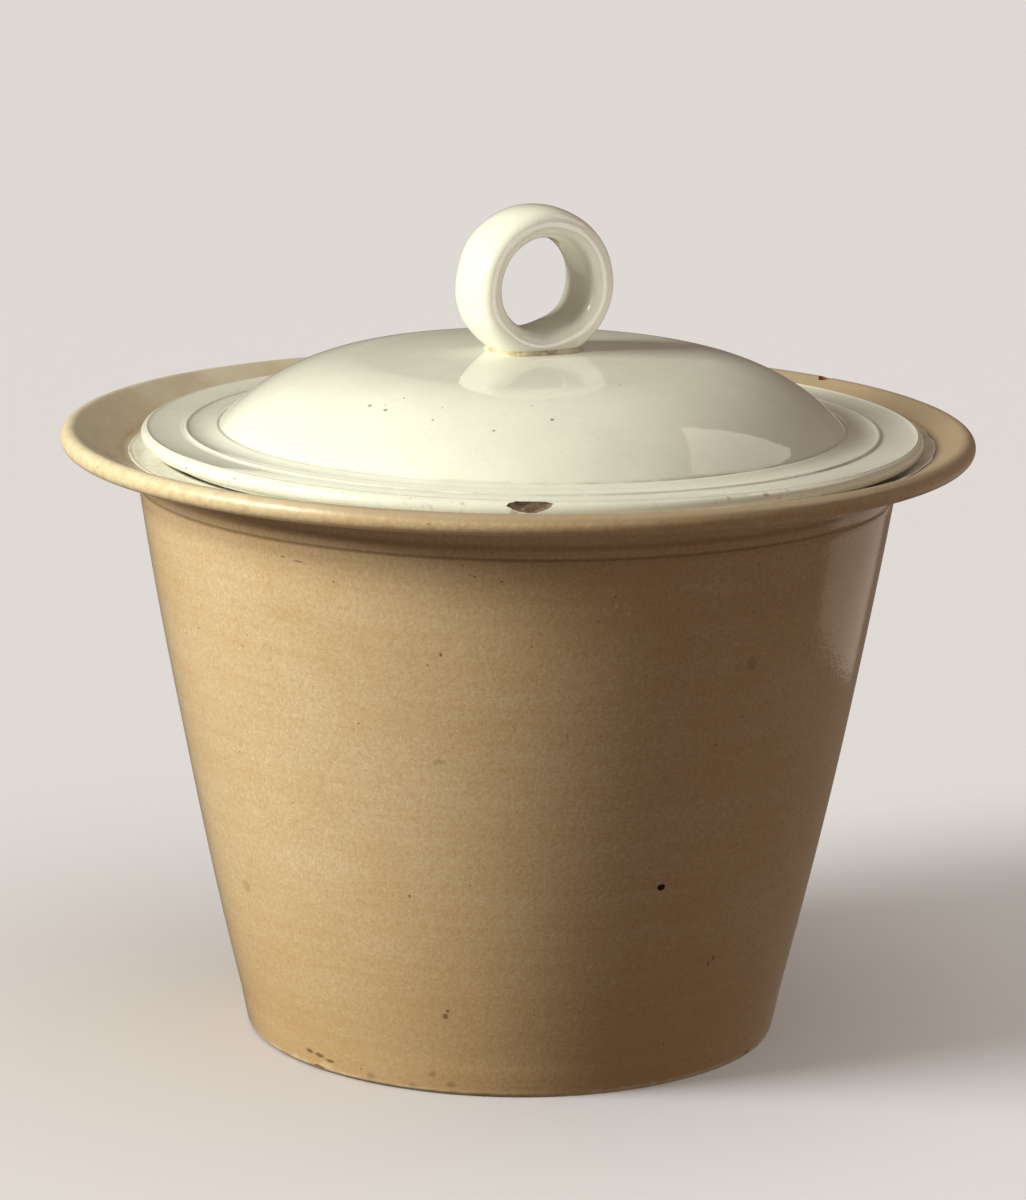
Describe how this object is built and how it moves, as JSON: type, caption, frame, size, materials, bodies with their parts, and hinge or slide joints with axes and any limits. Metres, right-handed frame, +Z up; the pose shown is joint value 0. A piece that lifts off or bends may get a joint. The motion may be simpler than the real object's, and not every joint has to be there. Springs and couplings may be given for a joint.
{
  "type": "lidded ceramic pan with ring handle",
  "caption": "Tapered earthenware pan with a wide rolled rim and white lining, and a loose domed white lid lifted by a ring handle.",
  "frame": {"origin": "on the pot's axis, in the plane its foot stands on", "axes": "+Z up along the pot's axis; +Y along the eye of the ring handle"},
  "size_m": [0.305, 0.305, 0.28],
  "materials": {
    "cane_ware": "buff body under a clear gloss glaze",
    "white_slip": "white slip under a clear gloss glaze",
    "white_ware": "cream-white body under a clear gloss glaze",
    "joint_slip": "slip joint under glaze, stained in its corner"
  },
  "bodies": {
    "pot": {"pot_body": "cane_ware", "white_lining": "white_slip"},
    "lid": {"lid_cover": "white_ware", "ring_handle": "white_ware", "handle_luting": "joint_slip"}
  },
  "joints": [
    {"name": "lid_lift", "type": "slide", "parent": "pot", "child": "lid", "axis": [0, 0, 1], "range_m": [0, 0.15]}
  ]
}
